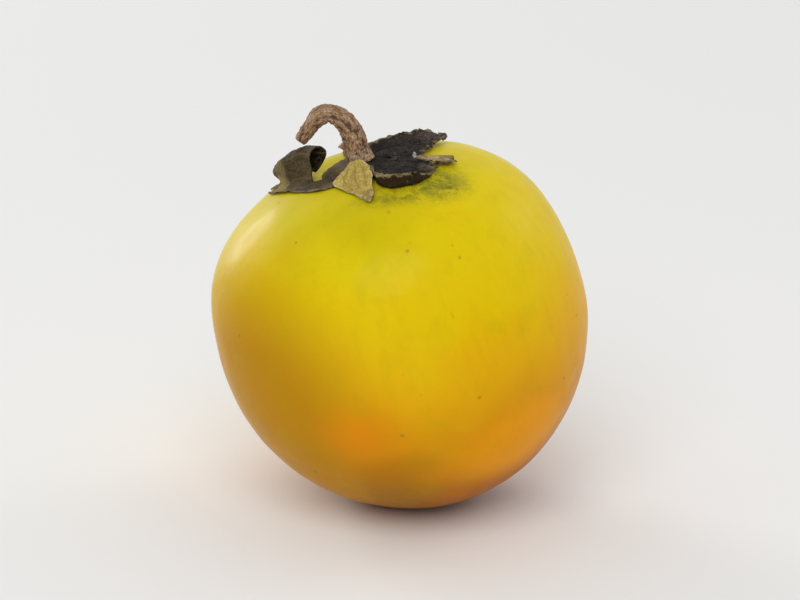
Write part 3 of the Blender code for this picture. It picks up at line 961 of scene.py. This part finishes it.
def make_stem(material):
    """Hooked stalk with furrowed bark, a leaf scar, a swollen joint and a torn end."""
    place = np.linspace(0, len(STEM_LINE) - 1, STEM_RINGS)
    centre_x = spline([line[0] for line, _ in STEM_LINE], place)
    centre_z = spline([line[1] for line, _ in STEM_LINE], place)
    radius = spline([value for _, value in STEM_LINE], place)
    tangent = np.stack([np.gradient(centre_x), np.gradient(centre_z)], -1)
    tangent /= np.linalg.norm(tangent, axis=1)[:, None]
    step = np.hypot(np.diff(centre_x), np.diff(centre_z))
    length = np.concatenate([[0], np.cumsum(step)]) / MM
    turn = np.arange(STEM_SEGMENTS) * 2 * math.pi / STEM_SEGMENTS
    rows, turns = np.meshgrid(np.arange(STEM_RINGS), turn, indexing="ij")
    s = length[rows]
    cos, sin = np.cos(turns), np.sin(turns)
    relief, furrow = bark_relief(s, turns, length[-1])
    full = radius[rows] + relief * MM
    full = full * (1 - 0.10 * smooth(length[-1] - 0.5, length[-1], s))
    across = np.stack([tangent[:, 1], -tangent[:, 0]], -1)
    x = centre_x[rows] + full * cos * across[rows, 0]
    z = centre_z[rows] + full * cos * across[rows, 1]
    y = full * sin + SIDE_SWAY_MM * MM * np.sin(s * 0.5)
    points = np.stack([x, y, z], -1).reshape(-1, 3)
    faces = quad_grid(STEM_RINGS, STEM_SEGMENTS, wrap=True)
    bark = np.stack([cos * 2.0, sin * 2.0, s], -1).reshape(-1, 3)
    # The torn end: shrinking rings that sink a little towards the pith
    rim = points[-STEM_SEGMENTS:]
    middle = rim.mean(0)
    outward = np.array([tangent[-1, 0], 0, tangent[-1, 1]])
    first = len(points)
    for ring in range(1, TORN_END_RINGS + 1):
        share = 1 - ring / (TORN_END_RINGS + 0.4)
        torn = gradient_noise(np.cos(turn) * share * 3, np.sin(turn) * share * 3, 0.4, 95)
        depth = (0.10 + 0.30 * torn - 0.35 * (1 - share)) * MM
        loop = middle + (rim - middle) * share + outward * depth[:, None]
        points = np.vstack([points, loop])
        bark = np.vstack([bark, bark[-STEM_SEGMENTS:] * share])
    faces += quad_grid(TORN_END_RINGS + 1, STEM_SEGMENTS, wrap=True, first=first - STEM_SEGMENTS)
    faces.append(tuple(range(len(points) - STEM_SEGMENTS, len(points))))
    faces.append(tuple(range(STEM_SEGMENTS))[::-1])
    piece = add_piece("hooked_stalk", points, faces, "stem", material)
    torn_points = len(points) - first
    add_attribute(piece, "furrow", np.append(furrow, np.zeros(torn_points)))
    add_attribute(piece, "bark", bark)
    add_attribute(piece, "cut_end", np.repeat([0.0, 1.0], [first, torn_points]))


# ---------------------------------------------------------------- studio

def make_floor():
    """Wide level floor at the lowest point of the CAD model."""
    points = [(x * FLOOR_HALF_WIDTH, y * FLOOR_HALF_WIDTH, 0)
              for x, y in ((-1, -1), (1, -1), (1, 1), (-1, 1))]
    mesh = bpy.data.meshes.new("floor")
    mesh.from_pydata(points, [], [(0, 1, 2, 3)])
    mesh.materials.append(floor_material())
    floor = bpy.data.objects.new("floor", mesh)
    floor.location = (0, 0, float(cad_box[0][2]))
    bpy.context.scene.collection.objects.link(floor)


def add_softbox(name, place, target, size, power):
    """Round area lamp at a place, turned to a target."""
    light = bpy.data.lights.new(name, "AREA")
    light.shape = "DISK"
    light.size = size
    light.energy = power
    lamp = bpy.data.objects.new(name, light)
    lamp.location = place
    lamp.rotation_mode = "QUATERNION"
    lamp.rotation_quaternion = (target - place).to_track_quat("-Z", "Y")
    bpy.context.scene.collection.objects.link(lamp)


def make_lights(centre):
    """Soft white studio: a broad key in front and above, and a lamp behind each side.

    The white surroundings are brighter behind the fruit than in front of it.
    """
    for name, (offset, size, power) in SOFTBOXES.items():
        add_softbox(name, centre + Vector(offset), centre, size, power)
    world = bpy.data.worlds.new("studio")
    world.use_nodes = True
    nodes = world.node_tree.nodes
    links = world.node_tree.links
    direction = nodes.new("ShaderNodeSeparateXYZ")
    links.new(nodes.new("ShaderNodeTexCoord").outputs["Generated"], direction.inputs[0])
    towards_back = nodes.new("ShaderNodeMapRange")
    towards_back.inputs["From Min"].default_value = -SURROUND_EASE
    towards_back.inputs["From Max"].default_value = SURROUND_EASE
    towards_back.inputs["To Min"].default_value = SURROUND_IN_FRONT
    towards_back.inputs["To Max"].default_value = SURROUND_BEHIND
    links.new(direction.outputs["Y"], towards_back.inputs["Value"])
    links.new(towards_back.outputs["Result"], nodes["Background"].inputs["Strength"])
    nodes["Background"].inputs["Color"].default_value = (1, 1, 1, 1)
    bpy.context.scene.world = world


def make_camera(centre):
    """Long lens in front of the fruit, a little above it, pointing at its middle."""
    data = bpy.data.cameras.new("view")
    data.lens = VIEW_LENS
    data.sensor_width = SENSOR_WIDTH
    data.clip_start = 0.01
    data.clip_end = 50
    camera = bpy.data.objects.new("view", data)
    back = Vector((0, -math.cos(VIEW_ELEVATION), math.sin(VIEW_ELEVATION)))
    camera.location = centre + back * VIEW_DISTANCE
    camera.rotation_mode = "QUATERNION"
    camera.rotation_quaternion = (-back).to_track_quat("-Z", "Y")
    bpy.context.scene.collection.objects.link(camera)
    bpy.context.scene.camera = camera


# ---------------------------------------------------------------- the whole scene

skin_points = body_grid()
fruit_frame = fruit_matrix(skin_points)
add_piece("ripe_fruit", rest_flat(skin_points), body_faces(), "fruit_body", skin_material())

olive_leaf = leaf_material(
    "dried_leaf_olive", upper=(0.145, 0.110, 0.052), upper_dark=(0.070, 0.055, 0.030),
    # The near-black under face is partly the lobe's own dark inner face, partly painted shade
    # inside the left lobe's rolled tube.
    under=(0.004, 0.003, 0.002), margin=(0.24, 0.18, 0.09), vein=(0.17, 0.12, 0.06),
    speck=(0.35, 0.30, 0.22), speck_amount=0.25, net=0.5,
    tinted_patches=(
        ((-9.3, 0.8, 35.6), (4.0, 3.0, 3.2), (0.046, 0.030, 0.007), 0.95),
        ((-11.4, 2.6, 37.0), (2.6, 3.0, 1.3), (0.045, 0.036, 0.024), 0.8),
        ((-12.9, 3.0, 34.8), (1.1, 3.2, 2.4), (0.26, 0.19, 0.08), 0.9),
        ((-14.6, 1.6, 31.6), (3.0, 3.8, 2.4), (0.42, 0.32, 0.11), 0.95),
        ((-6.0, -4.0, 32.4), (4.6, 2.8, 1.1), (0.040, 0.033, 0.020), 0.8),
    ))
dark_leaf = leaf_material(
    "dried_leaf_dark", upper=(0.016, 0.013, 0.010), upper_dark=(0.040, 0.032, 0.028),
    # The dark brown under face is partly the lobe's own colour, partly painted shade beneath the
    # raised lobe.
    under=(0.032, 0.016, 0.002), margin=(0.26, 0.20, 0.095), vein=(0.010, 0.008, 0.007),
    speck=(0.36, 0.32, 0.26), speck_amount=0.40, net=0.4,
    # Tinted patches: tan finger, near-white fleck, tan front margin, lighter grey-brown near the
    # lower and upper tips
    tinted_patches=(
        ((17.2, -5.2, 31.2), (4.2, 1.6, 2.4), (0.60, 0.45, 0.19), 1.0),
        ((12.6, -4.2, 32.6), (0.5, 1.3, 0.8), (0.80, 0.78, 0.70), 0.9),
        ((9.0, -13.0, 33.1), (6.5, 2.0, 0.45), (0.48, 0.37, 0.19), 0.9),
        ((15.8, -9.4, 31.2), (2.6, 2.2, 1.6), (0.150, 0.110, 0.085), 0.85),
        ((16.8, 5.0, 32.0), (4.0, 4.5, 2.4), (0.120, 0.085, 0.072), 0.8),
    ))
tan_leaf = leaf_material(
    "dried_leaf_tan", upper=(0.70, 0.53, 0.125), upper_dark=(0.52, 0.38, 0.085),
    under=(0.20, 0.14, 0.05), margin=(0.62, 0.50, 0.27), vein=(0.17, 0.10, 0.030),
    speck=(0.16, 0.10, 0.04), speck_amount=0.20, net=0.70, mottle=0.15,
    tinted_patches=(((3.4, -16.0, 30.4), (2.0, 2.2, 2.0), (0.30, 0.20, 0.07), 0.7),))
make_disc(olive_leaf)
make_lobe("dried_lobe_left", "calyx_lobe_left", LOBES["left"], olive_leaf)
make_lobe("dried_lobe_right", "calyx_lobe_right", LOBES["right"], dark_leaf)
make_lobe("dried_lobe_front", "calyx_lobe_front", LOBES["front"], tan_leaf)
make_lobe("dried_lobe_back", "calyx_lobe_back", LOBES["back"], olive_leaf)
make_stem(bark_material())

middle = (Vector(cad_box[0]) + Vector(cad_box[1])) / 2
make_floor()
make_lights(middle)
make_camera(middle)
bpy.context.scene.view_settings.view_transform = "Standard"
